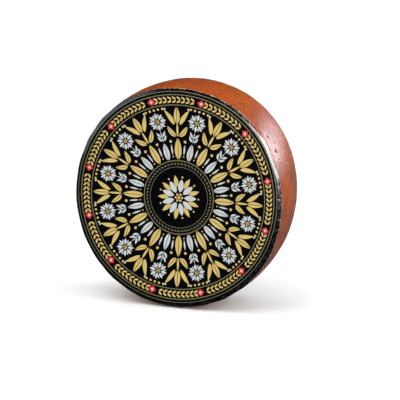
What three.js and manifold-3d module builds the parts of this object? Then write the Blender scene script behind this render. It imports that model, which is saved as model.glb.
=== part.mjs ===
import * as THREE from 'three';
import { mergeVertices } from 'three/addons/utils/BufferGeometryUtils.js';
import Module from 'manifold-3d';

// A whole wheel of washed-rind mountain cheese that stands on its rim, with a round paper label on its front.
// Lengths are in millimetres and angles in degrees. The wheel's axis runs along Y and its label faces -Y.

// The wheel, from the label's front to the back face.
const WHEEL_RADIUS = 155;
const OVERALL_DEPTH = 87;
const SHOULDER_RADIUS = 8;
const RIM_ARC_RADIUS = 280;

// The paper on the front face, how far round the shoulder it is folded, and where it falls short of that.
const LABEL_THICKNESS = 0.4;
const LABEL_GAP = 0.3;
const LABEL_WRAP = 74;
const SHORT_SIDE = 43;
const SHORTFALL = 0.35;
const LABEL_CRINKLE = 0.45;
const CRINKLE_COUNT = 22;
const EDGE_WANDER = 0.03;

// The wheel is a little out of round, its long axis leaning from upright, and is flattened where it stands.
const OUT_OF_ROUND = 0.025;
const LONG_AXIS = 70;
const FLAT_DEPTH = 1.2;

// The lumps of a hand-turned wheel, on its rim and on its faces, and shallow dents along its rim.
const RIM_LUMP = 0.5;
const FACE_LUMP = 0.4;
const FACE_LUMP_LENGTH = 42;
const DENT_COUNT = 13;
const DENT_DEPTH = 0.5;
const DENT_WIDTH = 18;
const GOLDEN_ANGLE = 137.5;

// How finely the surfaces are divided.
const SIDES = 120;
const FACE_RINGS = 6;
const SHOULDER_STEPS = 5;
const RIM_STEPS = 8;

const RIND_COLOUR = '#a8552f';
const PAPER_COLOUR = '#131316';

const { degToRad } = THREE.MathUtils;
const rightAngle = Math.PI / 2;
const labelDepth = LABEL_GAP + LABEL_THICKNESS;
const halfDepth = (OVERALL_DEPTH - labelDepth) / 2;

// Shoulder and rim are arcs that meet in one tangent, at this angle from the radius through the rim's middle.
const rimTilt = Math.asin((halfDepth - SHOULDER_RADIUS) / (RIM_ARC_RADIUS - SHOULDER_RADIUS));
const shoulderCentre = new THREE.Vector2(
  WHEEL_RADIUS - RIM_ARC_RADIUS + (RIM_ARC_RADIUS - SHOULDER_RADIUS) * Math.cos(rimTilt),
  halfDepth - SHOULDER_RADIUS,
);

const wasm = await Module();
wasm.setup();

// Points of a face from the axis to where the shoulder begins, without that last one.
function facePoints(y) {
  const points = [];
  for (let ring = 0; ring < FACE_RINGS; ring += 1) {
    points.push(new THREE.Vector2((shoulderCentre.x * ring) / FACE_RINGS, y));
  }
  return points;
}

function arcPoints(x, y, radius, from, to, steps) {
  return new THREE.ArcCurve(x, y, radius, from, to, from > to).getPoints(steps);
}

// Half of the cheese's section: front face, shoulder, rim, shoulder, back face.
function wheelSection() {
  const { x, y } = shoulderCentre;
  const rim = arcPoints(WHEEL_RADIUS - RIM_ARC_RADIUS, 0, RIM_ARC_RADIUS, -rimTilt, rimTilt, RIM_STEPS);
  return [
    ...facePoints(-halfDepth),
    ...arcPoints(x, -y, SHOULDER_RADIUS, -rightAngle, -rimTilt, SHOULDER_STEPS),
    ...rim.slice(1, -1),
    ...arcPoints(x, y, SHOULDER_RADIUS, rimTilt, rightAngle, SHOULDER_STEPS),
    ...facePoints(halfDepth).reverse(),
  ];
}

// Half of the label's section: its front and wrap outside, then back along the cheese at a small gap.
function labelSection() {
  const { x, y } = shoulderCentre;
  const wrapEnd = degToRad(LABEL_WRAP) - rightAngle;
  const outer = SHOULDER_RADIUS + labelDepth;
  const inner = SHOULDER_RADIUS + LABEL_GAP;
  return [
    ...facePoints(-halfDepth - labelDepth),
    ...arcPoints(x, -y, outer, -rightAngle, wrapEnd, SHOULDER_STEPS),
    ...arcPoints(x, -y, inner, wrapEnd, -rightAngle, SHOULDER_STEPS),
    ...facePoints(-halfDepth - LABEL_GAP).reverse(),
  ];
}

// Turns a section round the wheel's axis into a closed mesh that shares its vertices.
function spun(section) {
  const lathe = new THREE.LatheGeometry(section, SIDES);
  lathe.deleteAttribute('normal');
  lathe.deleteAttribute('uv');
  return withoutSlivers(mergeVertices(lathe, 0.001));
}

// At the axis a ring is one point, so one triangle of each of its quads has no area.
function withoutSlivers(geometry) {
  const corners = geometry.index.array;
  const kept = [];
  for (let i = 0; i < corners.length; i += 3) {
    const [a, b, c] = corners.subarray(i, i + 3);
    if (a !== b && b !== c && c !== a) {
      kept.push(a, b, c);
    }
  }
  geometry.setIndex(kept);
  return geometry;
}

function movePoints(geometry, move) {
  const position = geometry.attributes.position;
  const point = new THREE.Vector3();
  for (let i = 0; i < position.count; i += 1) {
    point.fromBufferAttribute(position, i);
    move(point);
    position.setXYZ(i, point.x, point.y, point.z);
  }
  return geometry;
}

// The folded edge of the paper lifts in small crinkles, wanders a little, and falls short on one side.
function crinkle(point) {
  const angle = Math.atan2(point.z, point.x);
  const out = Math.hypot(point.x, point.z) - shoulderCentre.x;
  if (out <= 0) {
    return;
  }
  const along = -point.y - shoulderCentre.y;
  const turned = Math.atan2(out, along);
  const share = turned / degToRad(LABEL_WRAP);
  const wave = 0.5 + 0.5 * Math.sin(CRINKLE_COUNT * angle + 1.3 * Math.sin(5 * angle));
  const lifted = Math.hypot(out, along) + LABEL_CRINKLE * wave * share ** 2;
  const short = SHORTFALL * (0.5 + 0.5 * Math.cos(angle - degToRad(SHORT_SIDE))) ** 4;
  const wandered = turned * (1 - short + EDGE_WANDER * Math.sin(7 * angle + 2 * Math.sin(2 * angle)));
  const radius = shoulderCentre.x + lifted * Math.sin(wandered);
  point.set(
    radius * Math.cos(angle),
    -shoulderCentre.y - lifted * Math.cos(wandered),
    radius * Math.sin(angle),
  );
}

// How deep the rim is pressed in at an angle, at a height across the rim.
function dentDepth(angle, across) {
  let depth = 0;
  for (let dent = 1; dent <= DENT_COUNT; dent += 1) {
    const away = angle - degToRad(dent * GOLDEN_ANGLE);
    const round = WHEEL_RADIUS * Math.atan2(Math.sin(away), Math.cos(away));
    const side = across - shoulderCentre.y * Math.sin(3 * dent);
    const size = DENT_WIDTH * (0.8 + 0.4 * Math.cos(2 * dent));
    depth += DENT_DEPTH * Math.exp(-(round ** 2 + side ** 2) / size ** 2);
  }
  return depth;
}

// What pressing, turning and ageing do to the form: out of round, lumpy, and wavy on both faces.
function age(point) {
  const angle = Math.atan2(point.z, point.x);
  const radius = Math.hypot(point.x, point.z);
  const share = radius / WHEEL_RADIUS;
  const swell = OUT_OF_ROUND * Math.cos(2 * (angle - degToRad(LONG_AXIS)));
  const broad = 2 * Math.cos(angle - 1.2) + 0.7 * Math.cos(3 * angle - 2);
  const lump = broad + Math.cos(4 * angle + 3) + 0.4 * Math.cos(5 * angle + 2.3);
  const grown = radius * (1 + swell) + RIM_LUMP * lump * share ** 6;
  const waveX = Math.sin(point.x / FACE_LUMP_LENGTH + 0.5);
  const waveZ = Math.cos(point.z / FACE_LUMP_LENGTH - 0.8);
  point.set(
    grown * Math.cos(angle),
    point.y + FACE_LUMP * waveX * waveZ * (point.y / halfDepth),
    grown * Math.sin(angle),
  );
}

// Dents press in the rim alone, so that the faces and what lies on them are left as they are.
function dentRim(point) {
  const radius = Math.hypot(point.x, point.z);
  if (radius <= shoulderCentre.x) {
    return;
  }
  const { smoothstep } = THREE.MathUtils;
  const clearOfLabel = smoothstep(point.y, -shoulderCentre.y, -shoulderCentre.y / 2);
  const onRim = clearOfLabel * smoothstep(radius, shoulderCentre.x, shoulderCentre.x + SHOULDER_RADIUS);
  const pressed = (radius - onRim * dentDepth(Math.atan2(point.z, point.x), point.y)) / radius;
  point.x *= pressed;
  point.z *= pressed;
}

function toManifold(geometry) {
  const mesh = new wasm.Mesh({
    numProp: 3,
    vertProperties: new Float32Array(geometry.attributes.position.array),
    triVerts: new Uint32Array(geometry.index.array),
  });
  return new wasm.Manifold(mesh);
}

function toGeometry(manifold) {
  const { vertProperties, triVerts } = manifold.getMesh();
  const geometry = new THREE.BufferGeometry();
  geometry.setAttribute('position', new THREE.BufferAttribute(vertProperties, 3));
  geometry.setIndex(new THREE.BufferAttribute(triVerts, 1));
  return geometry;
}

// Cuts a small flat spot under the wheel, where its own weight has pressed it level.
function standFlat(geometry) {
  const lowest = new THREE.Box3().setFromBufferAttribute(geometry.attributes.position).min.z;
  const size = 2 * WHEEL_RADIUS;
  const block = new THREE.BoxGeometry(size, size, size);
  block.deleteAttribute('normal');
  block.deleteAttribute('uv');
  block.translate(0, 0, lowest + FLAT_DEPTH - size / 2);
  return toGeometry(toManifold(geometry).subtract(toManifold(mergeVertices(block))));
}

function cheeseWheel() {
  const rounded = movePoints(spun(wheelSection()), dentRim);
  const geometry = standFlat(movePoints(rounded, age));
  geometry.computeVertexNormals();
  const rind = new THREE.MeshStandardMaterial({ color: RIND_COLOUR, roughness: 0.45, metalness: 0 });
  const wheel = new THREE.Mesh(geometry, rind);
  wheel.name = 'cheese_wheel';
  return wheel;
}

function faceLabel() {
  const folded = movePoints(spun(labelSection()), crinkle);
  const geometry = movePoints(folded, age);
  geometry.computeVertexNormals();
  const paper = new THREE.MeshStandardMaterial({ color: PAPER_COLOUR, roughness: 0.35, metalness: 0 });
  const label = new THREE.Mesh(geometry, paper);
  label.name = 'face_label';
  return label;
}

// The origin is the middle of the base: the wheel stands on Z = 0, centred on X and Y.
const cheese = new THREE.Group();
cheese.add(cheeseWheel(), faceLabel());
const bounds = new THREE.Box3().setFromObject(cheese);
const middle = bounds.getCenter(new THREE.Vector3());
cheese.position.set(-middle.x, -middle.y, -bounds.min.z);

export default cheese;
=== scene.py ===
import math

import bmesh
import bpy
from bpy.props import FloatProperty, FloatVectorProperty, IntProperty, PointerProperty
from mathutils import Matrix, Vector, noise


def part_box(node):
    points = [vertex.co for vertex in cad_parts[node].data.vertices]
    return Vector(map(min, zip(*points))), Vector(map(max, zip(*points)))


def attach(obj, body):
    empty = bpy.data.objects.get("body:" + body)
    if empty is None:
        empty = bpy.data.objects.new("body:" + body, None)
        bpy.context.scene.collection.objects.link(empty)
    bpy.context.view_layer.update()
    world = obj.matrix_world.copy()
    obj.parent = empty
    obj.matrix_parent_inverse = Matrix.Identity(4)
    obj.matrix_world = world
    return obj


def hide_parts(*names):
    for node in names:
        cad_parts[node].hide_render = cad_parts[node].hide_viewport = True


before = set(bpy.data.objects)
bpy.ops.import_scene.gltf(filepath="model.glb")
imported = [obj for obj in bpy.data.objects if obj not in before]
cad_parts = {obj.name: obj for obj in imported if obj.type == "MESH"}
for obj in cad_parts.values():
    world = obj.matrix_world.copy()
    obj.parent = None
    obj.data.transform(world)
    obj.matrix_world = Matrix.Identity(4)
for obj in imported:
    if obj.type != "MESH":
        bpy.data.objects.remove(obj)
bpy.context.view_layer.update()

bl_info = {
    "name": "Washed-rind cheese wheel",
    "version": (1, 0, 0),
    "blender": (4, 5, 0),
    "location": "3D View > Sidebar > Cheese wheel",
    "description": "Builds a whole cheese wheel with a printed paper label round its packed solids",
    "category": "Add Mesh",
}

# Lengths are in metres. The wheel's axis runs along Y, and its labelled face looks towards -Y.
# It stands on Z = 0. Angles round the wheel are measured from +X, and 90 degrees is up.
MM = 0.001


def linear(hex_colour):
    """An sRGB hex colour as the linear red, green, blue and alpha that Blender's sockets take."""
    channels = [int(hex_colour[i:i + 2], 16) / 255 for i in (1, 3, 5)]
    return [c / 12.92 if c <= 0.04045 else ((c + 0.055) / 1.055) ** 2.4 for c in channels] + [1.0]


def length(name, description, default):
    return FloatProperty(name=name, description=description, default=default, unit="LENGTH", precision=5)


def angle(name, description, degrees):
    return FloatProperty(name=name, description=description, default=math.radians(degrees), subtype="ANGLE")


def share(name, description, default):
    return FloatProperty(name=name, description=description, default=default, subtype="FACTOR")


def number(name, description, default):
    return FloatProperty(name=name, description=description, default=default)


def count(name, description, default):
    return IntProperty(name=name, description=description, default=default, min=1)


def colour(name, description, hex_colour):
    return FloatVectorProperty(
        name=name, description=description, default=linear(hex_colour), size=4, subtype="COLOR", min=0, max=1
    )


class WheelSizes(bpy.types.PropertyGroup):
    """The cheese itself: the same sizes as its solid, and the fine relief of its rind."""

    radius: length("Radius", "From the axis to the middle of the rim", 155 * MM)
    depth: length("Depth", "From the label's front to the back face", 87 * MM)
    shoulder_radius: length("Shoulder radius", "Rounding between the rim and a face", 8 * MM)
    rim_arc_radius: length("Rim arc radius", "Radius of the convex rim, seen across it", 280 * MM)
    out_of_round: share("Out of round", "How far the long axis differs from the mean, as a share", 0.025)
    long_axis: angle("Long axis", "Where the longest diameter points, from +X", 70)
    rim_lump: length("Rim lumps", "Height of the broad lumps round the rim", 0.5 * MM)
    face_lump: length("Face waves", "Height of the broad waves on both faces", 0.4 * MM)
    face_lump_length: length("Face wave length", "Size of the broad waves on both faces", 42 * MM)
    dent_count: count("Dents", "How many shallow dents the rim has", 13)
    dent_depth: length("Dent depth", "Depth of a shallow dent in the rim", 0.5 * MM)
    dent_width: length("Dent width", "Half width of a shallow dent in the rim", 18 * MM)
    knobble: length("Knobbles", "Height of the small unevenness of the rind", 0.22 * MM)
    knobble_length: length("Knobble length", "Size of the small unevenness of the rind", 17 * MM)
    grain: length("Grain", "Height of the finest unevenness that is modelled", 0.08 * MM)
    grain_length: length("Grain length", "Size of the finest unevenness that is modelled", 5 * MM)
    pit_depth: length("Pit depth", "Depth of an open pit in the rim", 0.8 * MM)


class LabelSizes(bpy.types.PropertyGroup):
    """The round paper label on the front face, folded over the shoulder."""

    gap: length("Gap", "From the cheese to the paper's solid", 0.3 * MM)
    thickness: length("Thickness", "Thickness of the paper's solid", 0.4 * MM)
    paper: length("Paper", "Thickness of the paper that shows at its edge", 0.18 * MM)
    wrap: angle("Wrap", "How far round the shoulder the paper is folded", 74)
    short_side: angle("Short side", "Where the paper reaches least far, from +X", 43)
    shortfall: share("Shortfall", "How much less far it reaches there, as a share of the wrap", 0.35)
    crinkle: length("Crinkle", "How far the folded edge lifts in waves", 0.45 * MM)
    crinkle_count: count("Crinkles", "Waves round the folded edge", 22)
    edge_wander: share("Edge wander", "How unevenly the edge runs, as a share of the wrap", 0.03)
    stuck_down: length("Stuck down", "How far the paper's edge is pressed towards the cheese", 0.4 * MM)
    crease: length("Creases", "Depth of the sharp creases in the fold", 0.4 * MM)
    crumpled_side: angle("Crumpled side", "Where the fold is crumpled most, from +X", -15)
    tight_side: angle("Tight side", "Where the fold lies tight and smooth, from +X", 29)
    pleated_side: angle("Pleated side", "Where the creases run over the shoulder, from +X", 25)
    cockle: length("Cockling", "Height of the paper's waves on the face", 0.1 * MM)
    cockle_length: length("Cockle length", "Size of the paper's waves on the face", 19 * MM)
    worn: length("Worn edge", "How far in from its edge the paper's print is rubbed off in spots", 1.3 * MM)
    # Painted glints: the worn edge is painted palest on this side, where the light falls.
    handled_side: angle("Handled side", "Where the edge is rubbed most, from +X", 30)


class PrintSizes(bpy.types.PropertyGroup):
    """The generic folk pattern printed on the label."""

    sectors: count("Sectors", "How many times the pattern repeats round the label", 12)
    ink: length("Ink", "How far the print stands off the paper", 0.06 * MM)
    centre_line: length("Centre line", "Radius of the line round the middle", 42.3 * MM)
    bead_line: length("Bead line", "Radius of the line round the row of beads", 51 * MM)
    field_line: length("Field line", "Radius of the line round the flower field", 127.8 * MM)
    band_line: length("Band line", "Radius of the line round the leaf band", 142 * MM)
    outer_line: length("Outer line", "Radius of the thin line outside the leaf band, in the fold", 146.4 * MM)
    line_width: length("Line width", "Width of a printed line", 1.3 * MM)
    middle_right: length("Middle right", "How far right of the axis the print's middle is", 4.6 * MM)
    middle_up: length("Middle up", "How far above the axis the print's middle is", 4.1 * MM)
    edge_right: length("Edge right", "How far right of centre the print's outer lines are", -0.3 * MM)
    edge_up: length("Edge up", "How far above centre the print's outer lines are", 2.0 * MM)
    lozenge: length("Lozenge", "Half the side of a red lozenge", 4.0 * MM)
    tulip_foot: length("Tulip foot", "Radius where a tulip starts", 84 * MM)
    tulip_height: length("Tulip height", "From a tulip's foot to its top", 41 * MM)
    split_leaf_foot: length("Split leaf foot", "Radius where the split leaves start", 52.6 * MM)
    slit: length("Slit", "Width of the unprinted midrib of a split leaf", 0.7 * MM)
    slim_leaf_foot: length("Slim leaf foot", "Radius where the slim leaves start", 59.5 * MM)
    sprig_foot: length("Sprig foot", "Radius where the sprig under a blossom starts", 78.6 * MM)
    sprig_height: length("Sprig height", "From a sprig's foot to its top", 15.5 * MM)
    blossom_ring: length("Blossom ring", "Radius of the ring of blossoms in the field", 107 * MM)
    blossom: length("Blossom", "Radius of a blossom in the field", 12.4 * MM)
    middle_blossom: length("Middle blossom", "Radius of the large blossom in the middle", 25.5 * MM)


class Colours(bpy.types.PropertyGroup):
    """Rind, paper and inks."""

    rust: colour("Rust", "The rind's main orange-brown", "#B24B14")
    russet: colour("Russet", "Redder brown patches of the rind", "#8D3613")
    tan: colour("Tan", "Paler, drier patches of the rind", "#CA6E21")
    # Umber is the brown of specks and cloth lines, and also paints shade in the pits and on the back edge.
    umber: colour("Umber", "Pits and hollows where the brine dried dark", "#40190B")
    # This pit colour is painted shade: it keeps the open pits dark in the highlight.
    brine: colour("Dried brine", "The darkest crust at the bottom of a pit", "#3A0F08")
    black: colour("Black paper", "The label's printed ground", "#040408")
    gold: colour("Gold ink", "Pale gold of leaves and tulips", "#FFDB7E")
    silver: colour("Silver ink", "Silver-white of the blossoms", "#F2F2F1")
    olive: colour("Olive gold ink", "Dull gold of the lines", "#8C8660")
    red: colour("Red ink", "Red of the lozenges", "#FA241C")
    # Paper core is the pale of real wear, and also paints glints on the crease ridges and the lit edge.
    paper_white: colour("Paper core", "The uncoated paper that shows where it is cut or rubbed", "#D9D6CF")


class StageSettings(bpy.types.PropertyGroup):
    """Where the camera stands and how it frames the wheel."""

    azimuth: angle("Azimuth", "Camera's angle from the labelled face towards +X", 19.1)
    elevation: angle("Elevation", "Camera's angle above the horizon", 14.7)
    distance: length("Distance", "From the camera to the wheel's middle", 2.34)
    focal_px: number("Focal length", "In pixels of a 400 px wide picture", 1684)
    middle_x: number("Middle X", "Pixel column of the wheel's middle", 186.35)
    middle_y: number("Middle Y", "Pixel row of the wheel's middle", 192.55)


# The angle from one dent to the next in degrees, which spreads any number of them evenly.
DENT_SPACING = 137.5

# Sizes of the paper's creases, round the wheel and over the shoulder: pleats run over the
# shoulder, and ripples run along it.
PLEAT = (5.5 * MM, 9 * MM)
FINE_PLEAT = (2.6 * MM, 3.5 * MM)
RIPPLE = (14 * MM, 1.9 * MM)

# How near the paper comes to the floor at most.
FLOOR_GAP = 0.1 * MM


def smoothstep(low, high, value):
    """0 below the low end and 1 above the high end, with an eased rise between them."""
    t = min(max((value - low) / (high - low), 0.0), 1.0)
    return t * t * (3 - 2 * t)


def crease_noise(way, reach, size, shift):
    """Noise from -1 to 1 with one size round the wheel and another over the shoulder."""
    along, over = size
    return noise.noise(way / along + Vector((*shift, reach / over)))


class WheelForm:
    """The wheel's shape, worked out from its sizes, with the wheel's own middle as the origin."""

    def __init__(self, wheel, label):
        for sizes in (wheel, label):
            for name in sizes.__annotations__:
                setattr(self, name, getattr(sizes, name))
        self.stack = self.gap + self.thickness
        self.half_depth = (self.depth - self.stack) / 2
        self.shoulder_across = self.half_depth - self.shoulder_radius
        run = self.rim_arc_radius - self.shoulder_radius
        self.rim_tilt = math.asin(self.shoulder_across / run)
        self.shoulder_reach = self.radius - self.rim_arc_radius + run * math.cos(self.rim_tilt)
        self.paper_radius = self.shoulder_radius + self.stack
        self.label_end = self.shoulder_reach + self.paper_radius * self.wrap
        self.place = self.find_place()

    def find_place(self):
        """Where the wheel's middle is in the row frame: its solid's box tells."""
        low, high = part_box("cheese_wheel")
        steps = 720
        turns = [2 * math.pi * k / steps for k in range(steps)]
        rim = [self.on_rim(turn, across * MM) for turn in turns for across in range(-30, 31, 6)]
        own_x = (min(p.x for p in rim) + max(p.x for p in rim)) / 2
        middle = (low + high) / 2
        return Vector((middle.x - own_x, middle.y, high.z - max(p.z for p in rim)))

    def on_rim(self, turn, across):
        """The point of the rim at an angle round the wheel and a height across the rim."""
        tilt = math.asin(across / self.rim_arc_radius)
        reach = self.radius - self.rim_arc_radius * (1 - math.cos(tilt))
        return self.aged(self.dented(Vector((reach * math.cos(turn), across, reach * math.sin(turn)))))

    def aged(self, point):
        """What pressing, turning and ageing do: out of round, lumpy, and wavy on both faces.

        A number beside a wave is its strength against the others, or where it starts.
        """
        turn = math.atan2(point.z, point.x)
        reach = math.hypot(point.x, point.z)
        out = reach / self.radius
        swell = self.out_of_round * math.cos(2 * (turn - self.long_axis))
        broad = 2 * math.cos(turn - 1.2) + 0.7 * math.cos(3 * turn - 2)
        lump = broad + math.cos(4 * turn + 3) + 0.4 * math.cos(5 * turn + 2.3)
        grown = reach * (1 + swell) + self.rim_lump * lump * out ** 6
        size = self.face_lump_length
        wave = math.sin(point.x / size + 0.5) * math.cos(point.z / size - 0.8)
        across = point.y + self.face_lump * wave * point.y / self.half_depth
        return Vector((grown * math.cos(turn), across, grown * math.sin(turn)))

    def dent_depth_at(self, turn, across):
        """How deep all the dents together press the rim in at a point."""
        depth = 0.0
        for dent in range(1, self.dent_count + 1):
            away = turn - math.radians(dent * DENT_SPACING)
            along = self.radius * math.atan2(math.sin(away), math.cos(away))
            side = across - self.shoulder_across * math.sin(3 * dent)
            size = self.dent_width * (0.8 + 0.4 * math.cos(2 * dent))
            spread = (along * along + side * side) / (size * size)
            if spread < 9:
                depth += self.dent_depth * math.exp(-spread)
        return depth

    def dented(self, point):
        """Shallow dents press in the rim alone, clear of the label."""
        reach = math.hypot(point.x, point.z)
        if reach <= self.shoulder_reach:
            return point
        clear = smoothstep(-self.shoulder_across, -self.shoulder_across / 2, point.y)
        on_rim = clear * smoothstep(self.shoulder_reach, self.shoulder_reach + self.shoulder_radius, reach)
        if on_rim == 0:
            return point
        pressed = (reach - on_rim * self.dent_depth_at(math.atan2(point.z, point.x), point.y)) / reach
        return Vector((point.x * pressed, point.y, point.z * pressed))

    def crumpling(self, reach, turn):
        """How crumpled the fold is, from 0 on the face to 1, and 0 where the paper lies tight."""
        early = 3 * MM
        fold = smoothstep(self.shoulder_reach - early, self.label_end - early, reach)
        rough = 0.3 + 0.7 * math.cos((turn - self.crumpled_side) / 2) ** 8
        rough *= 1 - smoothstep(0.93, 0.97, math.cos(turn - self.tight_side))
        return fold * rough

    def creasing(self, reach, turn):
        """The paper's sharp folds, highest on a ridge, and as strong as the paper is crumpled.

        They are pleats over the shoulder on the pleated side and ripples along it elsewhere.
        """
        crumpled = self.crumpling(reach, turn)
        if crumpled == 0:
            return 0.0
        way = Vector((math.cos(turn), math.sin(turn), 0)) * self.radius
        pleat = crease_noise(way, reach, PLEAT, (0, 0))
        fine = crease_noise(way, reach, FINE_PLEAT, (5.2, 1.3))
        ripple = crease_noise(way, reach, RIPPLE, (3.1, 7.7))
        crosswise = 0.8 * (1 - 2.4 * abs(pleat)) + 0.3 * (1 - 2 * abs(fine))
        lengthwise = 0.7 * (1 - 2.4 * abs(ripple))
        pleated = smoothstep(0.55, 0.90, math.cos(turn - self.pleated_side))
        return crumpled * (lengthwise + (crosswise - lengthwise) * pleated)

    def fold_at(self, turn):
        """How far round the shoulder the paper is folded at an angle of the wheel."""
        short = self.shortfall * (0.5 + 0.5 * math.cos(turn - self.short_side)) ** 4
        return self.wrap * (1 - short + self.edge_wander * math.sin(7 * turn + 2 * math.sin(2 * turn)))

    def cut_to_edge(self, reach, turn):
        """Draws a reach in the fold back to where the paper is cut at that angle."""
        over = max(reach - self.shoulder_reach, 0)
        return reach - over * (1 - self.fold_at(turn) / self.wrap)

    def on_label(self, reach, turn, lift):
        """The point of the label at a distance from its middle along the paper, lifted off the paper."""
        flat = Vector((reach * math.cos(turn), reach * math.sin(turn), 0.0))
        lift += self.cockle * noise.noise(flat / self.cockle_length)
        lift += self.crease * self.creasing(reach, turn)
        over = reach - self.shoulder_reach
        if over <= 0:
            front = -self.half_depth - self.stack - lift
            return self.aged(Vector((flat.x, front, flat.y))) + self.place
        turned = over / self.paper_radius
        part = turned / self.fold_at(turn)
        wave = 0.5 + 0.5 * math.sin(self.crinkle_count * turn + 1.3 * math.sin(5 * turn))
        stuck = self.stuck_down * (1 - 0.6 * wave) * smoothstep(0.72, 1.0, part)
        raised = self.paper_radius + self.crinkle * wave * part * part - stuck + lift
        out = self.shoulder_reach + raised * math.sin(turned)
        across = -self.shoulder_across - raised * math.cos(turned)
        point = self.aged(Vector((out * math.cos(turn), across, out * math.sin(turn)))) + self.place
        point.z = max(point.z, FLOOR_GAP)
        return point


def wheel_form():
    scene = bpy.context.scene
    return WheelForm(scene.wheel_sizes, scene.label_sizes)


def add_node(tree, kind, inputs=(), **settings):
    """Adds a shader node with its settings, and its inputs by name or number or in their order.

    An input is a value, a socket that feeds it, or a node that feeds it from its first output in
    use. A Map Range node takes a value, the range it comes in and the range it is brought to.
    """
    node = tree.nodes.new("ShaderNode" + kind)
    for name, value in settings.items():
        setattr(node, name, value)
    named = inputs if isinstance(inputs, dict) else dict(enumerate(inputs))
    for key, value in named.items():
        if isinstance(value, bpy.types.Node):
            value = next(output for output in value.outputs if output.enabled)
        if isinstance(value, bpy.types.NodeSocket):
            tree.links.new(value, node.inputs[key])
        else:
            node.inputs[key].default_value = value
    return node


def new_material(name):
    """A material and its empty node tree."""
    material = bpy.data.materials.new(name)
    material.use_nodes = True
    material.node_tree.nodes.clear()
    return material, material.node_tree


def finish_surface(tree, inputs):
    """Ends a material's tree in its Principled shader."""
    shader = add_node(tree, "BsdfPrincipled", inputs)
    add_node(tree, "OutputMaterial", {"Surface": shader})


def lumps(tree, size, detail=2.0, source=None, stretch=(1, 1, 1)):
    """Random lumps of a real size, over the object's own place unless another source is given."""
    source = source or add_node(tree, "TexCoord").outputs["Object"]
    scaled = add_node(tree, "VectorMath", (source, stretch), operation="MULTIPLY")
    sockets = {"Vector": scaled, "Scale": 1 / size, "Detail": detail, "Roughness": 0.55}
    return add_node(tree, "TexNoise", sockets)


def coated(tree, tone, coats):
    """Lays coats of colour over a tone in turn, each as thick as its mask says."""
    for mask, paint in coats:
        tone = add_node(tree, "Mix", {0: mask, 6: tone, 7: paint}, data_type="RGBA")
    return tone


def relief(tree, parts):
    """Adds up the parts of a surface's height, each times its strength."""
    height = 0.0
    for part, strength in parts:
        height = add_node(tree, "Math", (part, strength, height), operation="MULTIPLY_ADD")
    return height


def upright(x, z, across):
    """Places a rolled section round the wheel's axis."""
    return Vector((x, across, z))


def laid_flat(x, y, lift):
    """Places a rolled section round the Z axis, as label and artwork are before they go on the wheel."""
    return Vector((x, y, lift))


def rolled_grid(bm, section, steps, place):
    """Rolls a grid into a full turn of a section of reaches and heights, with no seam or hole."""
    rows = len(section) - 1
    verts = bmesh.ops.create_grid(bm, x_segments=steps, y_segments=rows, size=0.5)["verts"]
    for vert in verts:
        turn = 2 * math.pi * (vert.co.x + 0.5)
        reach, height = section[round((vert.co.y + 0.5) * rows)]
        vert.co = place(reach * math.cos(turn), reach * math.sin(turn), height)
    bmesh.ops.remove_doubles(bm, verts=verts, dist=0.001 * MM)
    bmesh.ops.recalc_face_normals(bm, faces=bm.faces[:])


def add_piece(bm, name, material):
    """Makes a bmesh a smooth-shaded piece that rides on the wheel's one body."""
    sharp = math.radians(40)
    for face in bm.faces:
        face.smooth = True
    for edge in bm.edges:
        edge.smooth = len(edge.link_faces) == 2 and edge.calc_face_angle(0) < sharp
    mesh = bpy.data.meshes.new(name)
    bm.to_mesh(mesh)
    bm.free()
    mesh.materials.append(material)
    piece = bpy.data.objects.new(name, mesh)
    bpy.context.scene.collection.objects.link(piece)
    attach(piece, "root")
    return piece


def spaced(start, stop, step):
    """Values from start up to but without stop, evenly spaced by about step."""
    steps = max(1, round((stop - start) / step))
    return [start + (stop - start) * k / steps for k in range(steps)]


# Rind

# How fine the wheel's mesh is: steps round it and over a shoulder, and the distance from one ring
# of points to the next where the label covers the face, over the rim and on the back.
WHEEL_STEPS = 600
SHOULDER_STEPS = 10
COVERED_STEP = 24 * MM
RIM_STEP = 1.4 * MM
BACK_STEP = 3 * MM

# A spot on the rim is its angle in degrees, its height across the rim and its radius in mm.
# Drier, paler patches of the rind.
PALE_PATCHES = ((60, 20, 44), (37, 18, 24), (5, -1, 15), (-1, -11, 15), (-9, -23, 17))
# Where the folds of the cloth show most.
WOVEN_PATCH = (16, -6, 30)
# Open pits on the upper right.
OPEN_PITS = (
    (37.3, -27.6, 1.3),
    (29.1, -26.1, 1.9),
    (28.0, -22.5, 1.0),
    (33.0, -16.0, 1.0),
    (24.5, -24.0, 0.9),
)

# The dark bead of painted shade in a pit: its radius as a share of the pit's, half its thickness, and how far
# its middle lies under the rim.
SHADE_BEAD_SHARE = 0.9
SHADE_BEAD_HALF = 0.2 * MM
SHADE_BEAD_SUNK = 0.25 * MM


def wheel_section(form):
    """Half of the cheese's section, from the front face's middle round the rim to the back face's middle."""
    reach, across, shoulder = form.shoulder_reach, form.shoulder_across, form.shoulder_radius
    quarter = math.pi / 2
    front = [(r, -form.half_depth) for r in spaced(0, reach, COVERED_STEP)]
    turned = [k / SHOULDER_STEPS * (quarter - form.rim_tilt) - quarter for k in range(SHOULDER_STEPS + 1)]
    front_shoulder = [(reach + shoulder * math.cos(a), -across + shoulder * math.sin(a)) for a in turned]
    rim_centre = form.radius - form.rim_arc_radius
    rim = []
    for tilt in spaced(-form.rim_tilt, form.rim_tilt, RIM_STEP / form.rim_arc_radius)[1:]:
        rim.append((rim_centre + form.rim_arc_radius * math.cos(tilt), form.rim_arc_radius * math.sin(tilt)))
    back_shoulder = [(r, -y) for r, y in reversed(front_shoulder)]
    back = [(r, form.half_depth) for r in reversed(spaced(0, reach, BACK_STEP))]
    return front + front_shoulder + rim + back_shoulder + back


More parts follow.
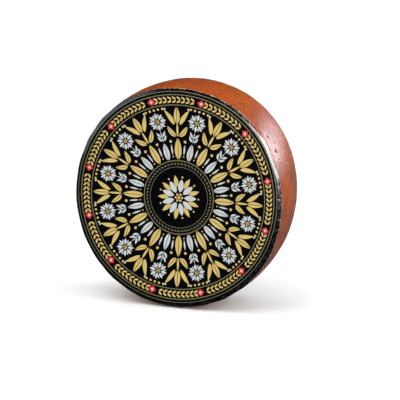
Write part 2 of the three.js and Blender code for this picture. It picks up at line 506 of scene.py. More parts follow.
def roughen_rind(bm, form):
    """Knobbles and pits along the surface's own direction, fading out under the label."""
    bm.normal_update()
    for vert in bm.verts:
        point = vert.co
        bare = smoothstep(-form.shoulder_across - 3 * MM, -form.shoulder_across + 4 * MM, point.y)
        knobble = form.knobble * noise.noise(point / form.knobble_length)
        knobble += form.grain * noise.noise(point / form.grain_length)
        turn = math.atan2(point.z, point.x)
        pit = 0.0
        for degrees, across, size in OPEN_PITS:
            along = form.radius * (turn - math.radians(degrees))
            pit += math.exp(-(along ** 2 + (point.y - across * MM) ** 2) / (size * MM) ** 2)
        vert.co = point + vert.normal * (bare * knobble - form.pit_depth * min(pit, 1.0))


def map_rind(bm, form):
    """A map in metres along the surface: round and across the rim, and straight over the faces."""
    layer = bm.loops.layers.uv.new("rind")
    for face in bm.faces:
        middle = face.calc_center_median()
        is_flat = math.hypot(middle.x, middle.z) < form.shoulder_reach * (1 - form.out_of_round)
        face_turn = math.atan2(-middle.x, middle.z)
        for loop in face.loops:
            x, y, z = loop.vert.co
            if is_flat:
                loop[layer].uv = (x, z)
                continue
            away = math.atan2(-x, z) - face_turn
            turn = face_turn + math.atan2(math.sin(away), math.cos(away))
            inward = max(form.shoulder_reach + form.shoulder_radius - math.hypot(x, z), 0)
            past = abs(y) > form.shoulder_across
            loop[layer].uv = (form.radius * turn, y + math.copysign(inward * past, y))


def crossed_lines(tree, surface, along, across, wobble):
    """Two sets of parallel ridges that cross, with so many to the metre along and across the rim."""
    apart = add_node(tree, "SeparateXYZ", (surface,))
    run = add_node(tree, "Math", (apart.outputs[0], 2 * math.pi * along), operation="MULTIPLY")
    side = add_node(tree, "Math", (apart.outputs[1], 2 * math.pi * across), operation="MULTIPLY")
    ridges = []
    for slant in ("ADD", "SUBTRACT"):
        straight = add_node(tree, "Math", (run, side), operation=slant)
        phase = add_node(tree, "Math", (straight, wobble), operation="ADD")
        ridges.append(add_node(tree, "Math", (phase,), operation="SINE"))
    both = add_node(tree, "Math", ridges, operation="ADD")
    return add_node(tree, "Math", (both, 0.5), operation="MULTIPLY")


def spots(tree, form, places, soft, grown=1.0):
    """1 in the middle of each spot on the rim, fading to 0 at its edge; soft is the share that fades."""
    here = add_node(tree, "TexCoord").outputs["Object"]
    mask = 0.0
    for degrees, across, radius in places:
        edge = grown * radius * MM
        middle = form.on_rim(math.radians(degrees), across * MM) + form.place
        away = add_node(tree, "VectorMath", (here, middle), operation="DISTANCE")
        near = add_node(tree, "MapRange", (away, edge, (1 - soft) * edge))
        mask = add_node(tree, "Math", (near, mask), operation="MAXIMUM")
    return mask


def washed_rind(colours, form):
    """Washed rind: pressed in cloth, then rubbed with herb brine, so it is tacky, tan and cloth-marked."""
    material, tree = new_material("washed_rind")
    surface = add_node(tree, "UVMap", uv_map="rind")
    apart = add_node(tree, "SeparateXYZ", (add_node(tree, "TexCoord").outputs["Object"],))
    across = add_node(tree, "Math", (apart.outputs[1], form.place.y), operation="SUBTRACT")
    pits = spots(tree, form, OPEN_PITS, 0.5, 1.5)

    # The cloth's weave runs slantwise, at 3.2 mm in place of the real 2.2 mm, so that it shows.
    # Where the cloth was creased, coarser ridges cross the rim at a low slant.
    wobble = add_node(tree, "Math", (lumps(tree, 14 * MM, 1.0), 6.0), operation="MULTIPLY")
    weave = crossed_lines(tree, surface, 0.7 / (3.2 * MM), 0.7 / (3.2 * MM), wobble)
    folds = crossed_lines(tree, surface, 1 / (4.4 * MM), 1 / (12 * MM), wobble)
    pressed = add_node(tree, "MapRange", (lumps(tree, 31 * MM), 0.56, 0.44))
    creased = add_node(tree, "MapRange", (lumps(tree, 24 * MM), 0.40, 0.56, 0.0, 0.55))
    creased = add_node(tree, "Math", (creased, spots(tree, form, [WOVEN_PATCH], 0.6)), operation="MAXIMUM")
    weave = add_node(tree, "Math", (weave, pressed), operation="MULTIPLY")
    folds = add_node(tree, "Math", (folds, creased), operation="MULTIPLY")

    # Brine and rubbing leave it blotched, mottled and smeared round the rim; the dark back edge is painted
    # shade.
    blotch = add_node(tree, "MapRange", (lumps(tree, 38 * MM, 3.0), 0.40, 0.66))
    mottling = lumps(tree, 7 * MM, 4.0)
    mottle = add_node(tree, "MapRange", (mottling, 0.44, 0.70, 0.0, 0.45))
    smears = lumps(tree, 5 * MM, 3.0, surface, (0.25, 1.0, 1.0))
    smear = add_node(tree, "MapRange", (smears, 0.45, 0.75, 0.0, 0.45))
    speck = add_node(tree, "MapRange", (lumps(tree, 2.2 * MM, 3.0), 0.54, 0.74, 0.0, 0.25))
    patchy = add_node(tree, "MapRange", (mottling, 0.44, 0.70, 0.25, 0.75))
    dry = add_node(tree, "Math", (spots(tree, form, PALE_PATCHES, 0.8), patchy), operation="MULTIPLY")
    # Painted shade: the back shoulder, which turns away from the light, is painted darker.
    painted_shade_back_edge = add_node(tree, "MapRange", (across, 32 * MM, 36 * MM, 0.0, 0.45))
    before_face = add_node(tree, "MapRange", (across, 43 * MM, 40.5 * MM))
    painted_shade_back_edge = add_node(tree, "Math", (painted_shade_back_edge, before_face), operation="MULTIPLY")
    # Painted shade: the open pits are painted dark so that they stay dark in the highlight.
    painted_shade_in_pits = add_node(tree, "Math", (pits, 0.95), operation="MULTIPLY")
    coats = [(blotch, colours.russet), (mottle, colours.tan), (smear, colours.russet), (dry, colours.tan)]
    for lines, dark, pale in ((folds, 0.85, 0.70), (weave, 0.60, 0.50)):
        coats.append((add_node(tree, "MapRange", (lines, 0.05, 0.9, 0.0, dark)), colours.umber))
        coats.append((add_node(tree, "MapRange", (lines, -0.05, -0.9, 0.0, pale)), colours.tan))
    coats += [(mask, colours.umber) for mask in (speck, painted_shade_back_edge, painted_shade_in_pits)]

    height = relief(tree, ((lumps(tree, 2.6 * MM, 3.0), 1.6), (weave, -0.5), (folds, -0.5), (pits, -5.0)))
    tacky = add_node(tree, "MapRange", (lumps(tree, 4 * MM, 3.0), 0.3, 0.7, 0.24, 0.36))
    finish_surface(tree, {
        "Base Color": coated(tree, colours.rust, coats),
        "Normal": add_node(tree, "Bump", {"Strength": 1.0, "Distance": 0.09 * MM, "Height": height}),
        "Roughness": add_node(tree, "Math", (tacky, pits), operation="MAXIMUM"),
        "IOR": 1.46,
    })
    return material


def dried_brine(colours):
    """Painted shade for a pit: a matt, nearly black bead, so a pit stays dark in the highlight."""
    material, tree = new_material("dried_brine")
    crust = add_node(tree, "MapRange", (lumps(tree, 0.8 * MM), 0.35, 0.65))
    tone = coated(tree, colours.brine, [(crust, colours.umber)])
    finish_surface(tree, {"Base Color": tone, "Roughness": 0.9, "Specular IOR Level": 0.1})
    return material


class CHEESE_OT_build_wheel(bpy.types.Operator):
    """Build the cheese: a rounded, slightly uneven wheel with its cloth-marked rind"""

    bl_idname = "cheese.build_wheel"
    bl_label = "Build the wheel"

    def execute(self, context):
        form = wheel_form()
        bm = bmesh.new()
        rolled_grid(bm, wheel_section(form), WHEEL_STEPS, upright)
        for vert in bm.verts:
            vert.co = form.aged(form.dented(vert.co))
        roughen_rind(bm, form)
        map_rind(bm, form)
        bmesh.ops.translate(bm, verts=bm.verts[:], vec=form.place)
        for vert in bm.verts:
            vert.co.z = max(vert.co.z, 0.0)
        rind = washed_rind(context.scene.cheese_colours, form)
        wheel = add_piece(bm, "washed_rind_wheel", rind)
        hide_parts("cheese_wheel")
        return {"FINISHED"}


class CHEESE_OT_fill_pits(bpy.types.Operator):
    """Lay dark beads of painted shade in the open pits of the rim"""

    bl_idname = "cheese.fill_pits"
    bl_label = "Fill the pits"

    def execute(self, context):
        form = wheel_form()
        bm = bmesh.new()
        # Painted shade: each open pit gets a dark bead so that it stays dark in the highlight.
        for degrees, across, size in OPEN_PITS:
            turn = math.radians(degrees)
            out = Vector((math.cos(turn), across * MM / form.rim_arc_radius, math.sin(turn)))
            seat = form.on_rim(turn, across * MM) + form.place - SHADE_BEAD_SUNK * out
            placed = Matrix.Translation(seat) @ out.to_track_quat("Z", "Y").to_matrix().to_4x4()
            wide = SHADE_BEAD_SHARE * size * MM
            bead = bmesh.ops.create_uvsphere(bm, u_segments=12, v_segments=8, radius=1)["verts"]
            bmesh.ops.scale(bm, vec=(wide, wide, SHADE_BEAD_HALF), verts=bead)
            bmesh.ops.transform(bm, matrix=placed, verts=bead)
        add_piece(bm, "pit_brine", dried_brine(context.scene.cheese_colours))
        return {"FINISHED"}


# Label paper

# How fine the label's mesh is: steps round it, and the distance from one ring of points to the
# next on the face, in the fold and on the underside.
LABEL_STEPS = 960
FACE_STEP = 4.5 * MM
FOLD_STEP = 0.6 * MM
UNDERSIDE_STEP = 12 * MM

# The crumples' pattern runs round the wheel at this share of its speed, which draws it out
# along the fold.
DRAWN_OUT = 0.3


def coated_paper(colours):
    """Coated paper flooded with black ink: a satin sheen, crumpled and worn pale in the fold, with painted
    glints on the crease ridges and along the lit edge.
    """
    material, tree = new_material("black_label_paper")
    rubbed = add_node(tree, "Attribute", attribute_name="rubbed").outputs["Fac"]
    cracked = add_node(tree, "Attribute", attribute_name="cracked").outputs["Fac"]
    crumpled = add_node(tree, "Attribute", attribute_name="crumpled").outputs["Fac"]
    unrolled = add_node(tree, "Attribute", attribute_name="unrolled").outputs["Vector"]
    fibre = lumps(tree, 0.9 * MM, 3.0)
    faded = add_node(tree, "MapRange", (fibre, 0.5, 0.8, 0.0, 0.003))
    streaks = add_node(tree, "MapRange", (lumps(tree, 1.8 * MM, 2.0, unrolled), 0.50, 0.62, 0.0, 0.30))
    # Painted glints: pale flecks on the crease ridges, partly cracked coating and partly the light's glints
    # on the crumples.
    crackle_and_glints = add_node(tree, "Math", (cracked, streaks), operation="MULTIPLY")
    uneven = add_node(tree, "MapRange", (lumps(tree, 3.2 * MM, 3.0), 0.3, 0.7, -0.75, 0.35))
    wear_and_glints = add_node(tree, "Math", (rubbed, uneven), operation="ADD")
    bare = add_node(tree, "MapRange", (wear_and_glints, 0.35, 0.60))
    ground = coated(tree, colours.black, [(mask, colours.paper_white) for mask in (faded, crackle_and_glints, bare)])
    crumple = add_node(tree, "Math", (lumps(tree, 2.4 * MM, 2.0, unrolled), crumpled), operation="MULTIPLY")
    height = relief(tree, ((fibre, 0.5), (crumple, 20.0)))
    finish_surface(tree, {
        "Base Color": ground,
        "Roughness": add_node(tree, "MapRange", (lumps(tree, 12 * MM, 4.0), 0.35, 0.7, 0.15, 0.24)),
        "Normal": add_node(tree, "Bump", {"Strength": 1.0, "Distance": 0.02 * MM, "Height": height}),
        "IOR": 1.5,
    })
    return material


def wrap_on_label(bm, form, low):
    """Lays flat artwork, drawn in X and Y with its height in Z, on the label; low is its underside."""
    for vert in bm.verts:
        x, y, height = vert.co
        vert.co = form.on_label(math.hypot(x, y), math.atan2(y, x), height + low)


class CHEESE_OT_build_label(bpy.types.Operator):
    """Build the paper label that covers the front face and is folded over the shoulder"""

    bl_idname = "cheese.build_label"
    bl_label = "Build the label"

    def execute(self, context):
        form = wheel_form()
        fold = form.shoulder_reach - 4 * MM
        top = [*spaced(0, fold, FACE_STEP), *spaced(fold, form.label_end, FOLD_STEP), form.label_end]
        under = [form.label_end, *reversed(spaced(0, form.label_end, UNDERSIDE_STEP))]
        bm = bmesh.new()
        rolled_grid(bm, [(r, 0) for r in top] + [(r, -form.paper) for r in under], LABEL_STEPS, laid_flat)
        rubbed = bm.verts.layers.float.new("rubbed")
        cracked = bm.verts.layers.float.new("cracked")
        crumpled = bm.verts.layers.float.new("crumpled")
        unrolled = bm.verts.layers.float_vector.new("unrolled")
        drawn = DRAWN_OUT * form.radius
        for vert in bm.verts:
            reach, turn = math.hypot(vert.co.x, vert.co.y), math.atan2(vert.co.y, vert.co.x)
            # The worn edge is real wear all round and is painted palest on the lit side, as glints.
            handled_and_lit = 0.55 + 0.45 * math.cos(turn - form.handled_side)
            cut = form.cut_to_edge(reach, turn)
            vert[rubbed] = smoothstep(form.label_end - form.worn, form.label_end, reach) * handled_and_lit
            vert[cracked] = max(form.creasing(cut, turn), 0)
            vert[crumpled] = form.crumpling(cut, turn)
            vert[unrolled] = (drawn * math.cos(turn), drawn * math.sin(turn), cut)
            if reach > 0:
                vert.co.xy *= cut / reach
        wrap_on_label(bm, form, 0)
        label = add_piece(bm, "paper_label", coated_paper(context.scene.cheese_colours))
        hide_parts("face_label")
        return {"FINISHED"}


# Print

# Steps round a printed line.
LINE_STEPS = 1080

# Length and width of the leaves that stand in rows, and of the beads.
BEAD = (4.6 * MM, 1.9 * MM)
GARLAND_LEAF = (6.9 * MM, 2.7 * MM)
GOLD_SPLIT_LEAF = (29.4 * MM, 8.8 * MM)
SILVER_SPLIT_LEAF = (24.0 * MM, 7.4 * MM)
SLIM_LEAF = (14 * MM, 2.3 * MM)

# Radius of a ring of dots and of one dot in it.
LEAF_FOOT_DOTS = (57.0 * MM, 1.0 * MM)
LEAF_TIP_DOTS = (77.8 * MM, 1.9 * MM)
TULIP_DOTS = (122.8 * MM, 1.4 * MM)
BLOSSOM_DOTS = (123.4 * MM, 1.6 * MM)
MIDDLE_DOTS = (28.6 * MM, 1.3 * MM)

# The petals between a blossom's main ones: foot, length and width as shares of its radius.
SLIM_BETWEEN = (0.52, 0.40, 0.13)
FULL_BETWEEN = (0.58, 0.64, 0.24)

BEADS_PER_SECTOR = 5
GARLAND_PAIRS = 9
# The share of its sector that a garland leaves free at each end, for the lozenges.
GARLAND_FREE = 0.135


def printed_ink(name, base, roughness, metallic):
    """Printing ink on coated paper: even, with a faint mottle, and shinier where it lies thick."""
    material, tree = new_material(name)
    mottle = lumps(tree, 1.2 * MM, 3.0)
    thin = add_node(tree, "MapRange", (mottle, 0.3, 0.7, 0.92, 1.0))
    tone = add_node(tree, "Mix", {0: 1.0, 6: base, 7: thin}, data_type="RGBA", blend_type="MULTIPLY")
    sheen = add_node(tree, "MapRange", (mottle, 0.3, 0.7, roughness + 0.06, roughness))
    finish_surface(tree, {"Base Color": tone, "Roughness": sheen, "Metallic": metallic})
    return material


def polar(reach, degrees, turn=0.0):
    """Places a motif at a reach and an angle, its own X pointing outward, turned by some degrees."""
    out = Matrix.Rotation(math.radians(degrees), 4, "Z") @ Matrix.Translation((reach, 0, 0))
    return out @ Matrix.Rotation(math.radians(turn), 4, "Z")


def aside(offset, turn=0.0):
    """Moves a motif sideways and turns it by some degrees."""
    return Matrix.Translation((0, offset, 0)) @ Matrix.Rotation(math.radians(turn), 4, "Z")


def add_leaf(bm, place, size, sweep=0.0, widest=1.0, fullness=1.0, side=0):
    """A leaf or petal along X from its foot; sweep bends its tip aside, and side keeps one half of it."""
    long, wide = size
    verts = bmesh.ops.create_grid(bm, x_segments=10, y_segments=3, size=0.5)["verts"]
    for vert in verts:
        along = vert.co.x + 0.5
        out = 2 * vert.co.y if side == 0 else side * (vert.co.y + 0.5)
        half = wide / 2 * max(math.sin(math.pi * along ** widest), 0.0) ** fullness
        vert.co = (long * along, half * out + sweep * along * along, 0)
    bmesh.ops.transform(bm, matrix=place, verts=verts)


def add_split_leaf(bm, place, size, slit, sweep=0.0):
    """A leaf in two halves with an unprinted midrib between them."""
    for side in (-1, 1):
        half = place @ aside(side * slit / 2)
        add_leaf(bm, half, size, sweep=sweep, widest=0.85, fullness=0.8, side=side)


def add_dot(bm, place, radius):
    bmesh.ops.create_circle(bm, cap_ends=True, segments=14, radius=radius, matrix=place)


def add_ring_dot(bm, dots, degrees):
    """Adds one dot of a ring of dots."""
    ring, radius = dots
    add_dot(bm, polar(ring, degrees), radius)


def add_ring(bm, radius, width):
    """A printed line round the middle."""
    rolled_grid(bm, [(radius + width * k / 2, 0) for k in (-1, 0, 1)], LINE_STEPS, laid_flat)


def add_blossom(silver, gold, place, radius, petals, between, between_ink):
    """An alpine star blossom: silver petals, others between them, round a cluster of gold buttons."""
    petal = (0.70 * radius, 0.31 * radius)
    foot, long, wide = (part * radius for part in between)
    for k in range(petals):
        turn = 360 / petals * k
        add_leaf(silver, place @ polar(0.30 * radius, turn), petal, widest=0.9, fullness=0.8)
        add_leaf(between_ink, place @ polar(foot, turn + 180 / petals), (long, wide), widest=0.9)
    add_dot(gold, place, 0.075 * radius)
    for k in range(6):
        add_dot(gold, place @ polar(0.18 * radius, 60 * k), 0.065 * radius)


def add_tulip(gold, degrees, foot, height):
    """A folk tulip: a stem with two curled leaves, and three petals that open outward."""
    add_leaf(gold, polar(foot, degrees), (0.44 * height, 0.07 * height), fullness=0.5)
    add_split_leaf(gold, polar(foot + 0.43 * height, degrees), (0.57 * height, 0.18 * height), 0.02 * height)
    for side in (-1, 1):
        spread, curl = side * 0.10 * height, -side * 0.15 * height
        petal = polar(foot + 0.40 * height, degrees) @ aside(spread, side * 24)
        add_leaf(gold, petal, (0.58 * height, 0.145 * height), sweep=spread, widest=0.8, fullness=0.8)
        leaf = polar(foot + 0.02 * height, degrees) @ aside(side * 0.05 * height, side * 62)
        add_split_leaf(gold, leaf, (0.42 * height, 0.15 * height), 0.016 * height, sweep=curl)


def add_sprig(bm, degrees, foot, height):
    """A short stem with two pairs of small leaves that stand clear of it, under a blossom."""
    add_leaf(bm, polar(foot, degrees), (height, 0.08 * height), fullness=0.5)
    for side in (-1, 1):
        curl = -side * 0.10 * height
        for up in (0.08, 0.46):
            leaf = polar(foot + up * height, degrees) @ aside(side * 0.07 * height, side * 46)
            add_leaf(bm, leaf, (0.56 * height, 0.20 * height), sweep=curl, widest=0.85, fullness=0.8)


def put_off_centre(bm, sizes):
    """Shifts flat artwork as the paper lies: it went on off centre, and its middle drew further aside."""
    middle = Vector((sizes.middle_right, sizes.middle_up, 0))
    edge = Vector((sizes.edge_right, sizes.edge_up, 0))
    for vert in bm.verts:
        out = min(vert.co.xy.length / sizes.outer_line, 1)
        vert.co += middle.lerp(edge, out * out)


def print_on(bm, name, material):
    """Gives flat artwork the thickness of its ink and lays it on the label as a piece."""
    sizes = bpy.context.scene.print_sizes
    sunk = 0.5 * sizes.ink
    bmesh.ops.remove_doubles(bm, verts=bm.verts[:], dist=0.005 * MM)
    bmesh.ops.dissolve_degenerate(bm, dist=0.001 * MM, edges=bm.edges[:])
    raised = bmesh.ops.extrude_face_region(bm, geom=bm.faces[:])["geom"]
    top = [part for part in raised if isinstance(part, bmesh.types.BMVert)]
    bmesh.ops.translate(bm, verts=top, vec=(0, 0, sizes.ink + sunk))
    bmesh.ops.recalc_face_normals(bm, faces=bm.faces[:])
    put_off_centre(bm, sizes)
    wrap_on_label(bm, wheel_form(), -sunk)
    return add_piece(bm, name, material)


def inks(colours):
    """The four printing inks, made once and shared."""
    made = {}
    for name, base, roughness, metallic in (
        ("gold_ink", colours.gold, 0.42, 0.05),
        ("silver_ink", colours.silver, 0.42, 0.05),
        ("olive_gold_ink", colours.olive, 0.45, 0.20),
        ("red_ink", colours.red, 0.45, 0.0),
    ):
        made[name] = bpy.data.materials.get(name) or printed_ink(name, base, roughness, metallic)
    return made


def sector_angles(sectors, offset=0.0):
    """The angle of each repeat of the pattern, the first one upright where there is no offset."""
    return [90 + 360 / sectors * (k + offset) for k in range(sectors)]


class CHEESE_OT_print_lines(bpy.types.Operator):
    """Print the dull gold lines round the label and the row of beads between the two inner ones"""

    bl_idname = "cheese.print_lines"
    bl_label = "Print the lines"

    def execute(self, context):
        sizes = context.scene.print_sizes
        ink = inks(context.scene.cheese_colours)["olive_gold_ink"]
        bm = bmesh.new()
        for radius, width in (
            (sizes.centre_line, 0.5 * sizes.line_width),
            (sizes.bead_line, sizes.line_width),
            (sizes.field_line, sizes.line_width),
            (sizes.band_line, sizes.line_width),
            (sizes.outer_line, 0.55 * sizes.line_width),
        ):
            add_ring(bm, radius, width)
        bead_ring = (sizes.centre_line + sizes.bead_line) / 2
        beads = BEADS_PER_SECTOR * sizes.sectors
        for k in range(beads):
            slanted = polar(bead_ring, 360 / beads * k, 55)
            add_leaf(bm, slanted @ Matrix.Translation((-BEAD[0] / 2, 0, 0)), BEAD)
        print_on(bm, "printed_lines", ink)
        return {"FINISHED"}


class CHEESE_OT_print_band(bpy.types.Operator):
    """Print the outer band: a garland of small gold leaves with red lozenges between its lengths"""

    bl_idname = "cheese.print_band"
    bl_label = "Print the outer band"

    def execute(self, context):
        sizes = context.scene.print_sizes
        made = inks(context.scene.cheese_colours)
        middle = (sizes.field_line + sizes.band_line) / 2
        gold, red, silver = bmesh.new(), bmesh.new(), bmesh.new()
        span = 360 / sizes.sectors
        pace = span * (1 - 2 * GARLAND_FREE) / (GARLAND_PAIRS - 1)
        for start in sector_angles(sizes.sectors, 0.5):
            lozenge = bmesh.ops.create_grid(red, x_segments=4, y_segments=4, size=sizes.lozenge)["verts"]
            bmesh.ops.transform(red, matrix=polar(middle, start, 45), verts=lozenge)
            add_dot(silver, polar(middle, start), 0.475 * sizes.lozenge)
            for k in range(GARLAND_PAIRS):
                turn = start + span * GARLAND_FREE + pace * k
                for side in (-1, 1):
                    foot = polar(middle + side * 0.45 * MM, turn, 90 - side * 40)
                    add_leaf(gold, foot, GARLAND_LEAF, sweep=side * 0.7 * MM, widest=0.85, fullness=0.8)
        print_on(gold, "garland_leaves", made["gold_ink"])
        print_on(red, "red_lozenges", made["red_ink"])
        dots = print_on(silver, "lozenge_dots", made["silver_ink"])
        # The dots are printed on the lozenges, so they stand half an ink's thickness higher.
        dots.data.transform(Matrix.Translation((0, -0.5 * sizes.ink, 0)))
        return {"FINISHED"}


class CHEESE_OT_print_field(bpy.types.Operator):
    """Print the flower field: tulips and star blossoms on sprigs in turn, over a row of split leaves"""

    bl_idname = "cheese.print_field"
    bl_label = "Print the flower field"

    def execute(self, context):
        sizes = context.scene.print_sizes
        made = inks(context.scene.cheese_colours)
        gold, silver = bmesh.new(), bmesh.new()
        span = 360 / sizes.sectors
        for degrees in sector_angles(sizes.sectors):
            add_tulip(gold, degrees, sizes.tulip_foot, sizes.tulip_height)
            add_split_leaf(gold, polar(sizes.split_leaf_foot, degrees), GOLD_SPLIT_LEAF, sizes.slit)
            for side in (-1, 1):
                between = degrees + side * span / 4
                add_ring_dot(silver, TULIP_DOTS, degrees + side * span * 0.26)
                add_leaf(silver, polar(sizes.slim_leaf_foot, between), SLIM_LEAF, fullness=0.8)
                add_ring_dot(gold, LEAF_TIP_DOTS, between)
                add_ring_dot(gold, LEAF_FOOT_DOTS, between)
        for degrees in sector_angles(sizes.sectors, 0.5):
            middle = polar(sizes.blossom_ring, degrees)
            add_blossom(silver, gold, middle, sizes.blossom, 8, SLIM_BETWEEN, silver)
            add_sprig(silver, degrees, sizes.sprig_foot, sizes.sprig_height)
            add_split_leaf(silver, polar(sizes.split_leaf_foot, degrees), SILVER_SPLIT_LEAF, sizes.slit)
            for k in range(-2, 3):
                add_ring_dot(gold, BLOSSOM_DOTS, degrees + span * 0.095 * k)
        print_on(gold, "field_gold", made["gold_ink"])
        print_on(silver, "field_silver", made["silver_ink"])
        return {"FINISHED"}


class CHEESE_OT_print_middle(bpy.types.Operator):
    """Print the middle: a large star blossom of silver and gold petals in a ring of gold dots"""

    bl_idname = "cheese.print_middle"
    bl_label = "Print the middle"

    def execute(self, context):
        sizes = context.scene.print_sizes
        made = inks(context.scene.cheese_colours)
        gold, silver = bmesh.new(), bmesh.new()
        petals = 9
        add_blossom(silver, gold, Matrix.Identity(4), sizes.middle_blossom, petals, FULL_BETWEEN, gold)
        for k in range(petals):
            add_ring_dot(gold, MIDDLE_DOTS, 360 / petals * k)
        print_on(gold, "middle_gold", made["gold_ink"])
        print_on(silver, "middle_silver", made["silver_ink"])
        return {"FINISHED"}


# Stage

# Width of the picture in pixels and of the camera's sensor in mm.
PICTURE = 400
SENSOR = 36.0

# Tints of the lights: sun and sky together leave the floor's shadow a neutral grey, and the
# windows and the mirrored surround give the black paper its cool sheen.
WHITE = (1, 1, 1)
SUN_TINT = (1.06, 1.0, 0.99)
SKY_TINT = (0.92, 1.0, 1.01, 1)
WINDOW_TINT = (0.83, 0.98, 1.16)
MIRRORED_TINT = (0.86, 0.95, 1.1, 1)


def matt_board():
    """Matt white board under the wheel: pale, with a faint tooth and no reflections to speak of."""
    material, tree = new_material("matt_white_board")
    tooth = {"Strength": 0.1, "Distance": 0.05 * MM, "Height": lumps(tree, 3 * MM)}
    finish_surface(tree, {
        "Base Color": linear("#F4F4F3"),
        "Normal": add_node(tree, "Bump", tooth),
        "Roughness": 0.95,
        "Specular IOR Level": 0.1,
    })
    return material


def direction(azimuth, elevation):
    """The direction of a light or camera from the wheel: 0 degrees is in front of the label, 90 is +X."""
    level = math.cos(elevation)
    return Vector((math.sin(azimuth) * level, -math.cos(azimuth) * level, math.sin(elevation)))


def hang(name, light, toward, mirrored, target=Vector(), distance=0.0):
    """Hangs a light that faces the target, seen only in reflections or only by matt surfaces."""
    back = direction(math.radians(toward[0]), math.radians(toward[1]))
    lamp = bpy.data.objects.new(name, light)
    bpy.context.scene.collection.objects.link(lamp)
    lamp.location = target + back * distance
    lamp.rotation_euler = back.to_track_quat("Z", "Y").to_euler()
    lamp.visible_diffuse = not mirrored
    lamp.visible_glossy = mirrored


def add_softbox(name, target, toward, distance, size, radiance, mirrored=True, tint=WINDOW_TINT):
    """A rectangular soft light: toward is its azimuth and elevation in degrees, size its two sides."""
    light = bpy.data.lights.new(name, "AREA")
    light.shape = "RECTANGLE"
    light.size, light.size_y = size
    light.energy = radiance * math.pi * size[0] * size[1]
    light.color = tint
    hang(name, light, toward, mirrored, target, distance)


def add_sun(name, toward, spread, strength):
    """A wide, even main light: only matt surfaces see it."""
    light = bpy.data.lights.new(name, "SUN")
    light.energy = strength
    light.color = SUN_TINT
    light.angle = math.radians(spread)
    hang(name, light, toward, False)


def studio_world(sky, ground, mirrored_above, mirrored_below):
    """An even white surround, brighter above than below, mirrored faintly and most from the floor behind."""
    world = bpy.data.worlds.new("studio_surround")
    world.use_nodes = True
    tree = world.node_tree
    tree.nodes.clear()
    apart = add_node(tree, "SeparateXYZ", (add_node(tree, "TexCoord").outputs["Generated"],))
    behind, height = apart.outputs[1], apart.outputs[2]
    lit = add_node(tree, "MapRange", (height, -0.15, 0.05, ground, sky))
    below = add_node(tree, "MapRange", (behind, 0.3, 0.8, mirrored_below, 5 * mirrored_below))
    seen = add_node(tree, "MapRange", (height, -0.15, 0.05, below, mirrored_above))
    bright = add_node(tree, "Background", (SKY_TINT, lit))
    dim = add_node(tree, "Background", (MIRRORED_TINT, seen))
    glossy = add_node(tree, "LightPath").outputs["Is Glossy Ray"]
    add_node(tree, "OutputWorld", {"Surface": add_node(tree, "MixShader", (glossy, bright, dim))})
    bpy.context.scene.world = world


def add_floor():
    """The white floor, which takes the wheel's shadow and throws no light back on it."""
    bm = bmesh.new()
    bmesh.ops.create_grid(bm, x_segments=8, y_segments=8, size=8.0)
    mesh = bpy.data.meshes.new("floor")
    bm.to_mesh(mesh)
    bm.free()
    mesh.materials.append(matt_board())
    floor = bpy.data.objects.new("floor", mesh)
    bpy.context.scene.collection.objects.link(floor)
    floor.visible_glossy = False
    floor.visible_diffuse = False


def add_lights(form):
    """Two suns and a fill for the matt surfaces, and the windows that show in the gloss."""
    upper_right = form.on_label(form.label_end, math.radians(22), 0)
    add_sun("key_left", (-50, 60), 50, 1.5)
    add_sun("key_right", (50, 60), 50, 0.45)
    add_softbox("right_fill", form.place, (100, 25), 2.0, (1.5, 1.5), 2.8, mirrored=False, tint=WHITE)
    add_softbox("right_strip", upper_right, (48, 16), 1.0, (1.0, 0.70), 26, tint=WHITE)
    add_softbox("right_window", upper_right, (101, 22), 1.2, (0.74, 0.55), 12)
    add_softbox("back_right", upper_right, (138, 14), 1.2, (0.62, 0.50), 10)
    add_softbox("back_window", upper_right, (163, 13), 1.2, (0.40, 0.34), 2.4)
    add_softbox("left_card", form.place, (-80, 28), 1.4, (1.3, 1.3), 1.7)


def add_camera(middle, settings):
    """The camera, which has the wheel's middle at a given pixel of the picture."""
    back = direction(settings.azimuth, settings.elevation)
    right = Vector((math.cos(settings.azimuth), math.sin(settings.azimuth), 0))
    up = back.cross(right)
    per_pixel = settings.distance / settings.focal_px
    aim = middle + right * (PICTURE / 2 - settings.middle_x) * per_pixel
    aim -= up * (PICTURE / 2 - settings.middle_y) * per_pixel
    camera_data = bpy.data.cameras.new("camera")
    camera_data.sensor_width = SENSOR
    camera_data.lens = settings.focal_px / PICTURE * SENSOR
    camera = bpy.data.objects.new("camera", camera_data)
    bpy.context.scene.collection.objects.link(camera)
    camera.location = middle + back * settings.distance
    camera.rotation_euler = (camera.location - aim).to_track_quat("Z", "Y").to_euler()
    bpy.context.scene.camera = camera


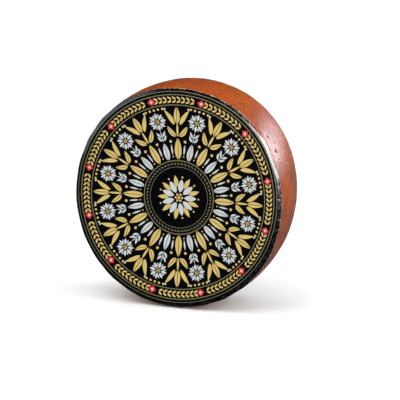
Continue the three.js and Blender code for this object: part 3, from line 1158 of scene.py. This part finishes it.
class CHEESE_OT_set_stage(bpy.types.Operator):
    """Set the white floor, the soft studio lights and the camera"""

    bl_idname = "cheese.set_stage"
    bl_label = "Set the stage"

    def execute(self, context):
        form = wheel_form()
        add_floor()
        studio_world(sky=0.70, ground=0.40, mirrored_above=0.02, mirrored_below=0.03)
        add_lights(form)
        add_camera(form.place, context.scene.stage_settings)
        context.scene.view_settings.view_transform = "Standard"
        return {"FINISHED"}


class CHEESE_PT_wheel(bpy.types.Panel):
    """Lists the steps that build the cheese wheel"""

    bl_idname = "CHEESE_PT_wheel"
    bl_label = "Cheese wheel"
    bl_space_type = "VIEW_3D"
    bl_region_type = "UI"
    bl_category = "Cheese wheel"

    def draw(self, context):
        for step in STEPS:
            self.layout.operator(step.bl_idname)


STEPS = (
    CHEESE_OT_build_wheel,
    CHEESE_OT_fill_pits,
    CHEESE_OT_build_label,
    CHEESE_OT_print_lines,
    CHEESE_OT_print_band,
    CHEESE_OT_print_field,
    CHEESE_OT_print_middle,
    CHEESE_OT_set_stage,
)
GROUPS = {
    "wheel_sizes": WheelSizes,
    "label_sizes": LabelSizes,
    "print_sizes": PrintSizes,
    "cheese_colours": Colours,
    "stage_settings": StageSettings,
}


def register():
    for group in GROUPS.values():
        bpy.utils.register_class(group)
    for name, group in GROUPS.items():
        setattr(bpy.types.Scene, name, PointerProperty(type=group))
    for step in STEPS:
        bpy.utils.register_class(step)
    bpy.utils.register_class(CHEESE_PT_wheel)


def unregister():
    bpy.utils.unregister_class(CHEESE_PT_wheel)
    for step in reversed(STEPS):
        bpy.utils.unregister_class(step)
    for name in GROUPS:
        delattr(bpy.types.Scene, name)
    for group in reversed(GROUPS.values()):
        bpy.utils.unregister_class(group)


def main():
    register()
    bpy.ops.cheese.build_wheel()
    bpy.ops.cheese.fill_pits()
    bpy.ops.cheese.build_label()
    bpy.ops.cheese.print_lines()
    bpy.ops.cheese.print_band()
    bpy.ops.cheese.print_field()
    bpy.ops.cheese.print_middle()
    bpy.ops.cheese.set_stage()


if __name__ == "__main__":
    main()
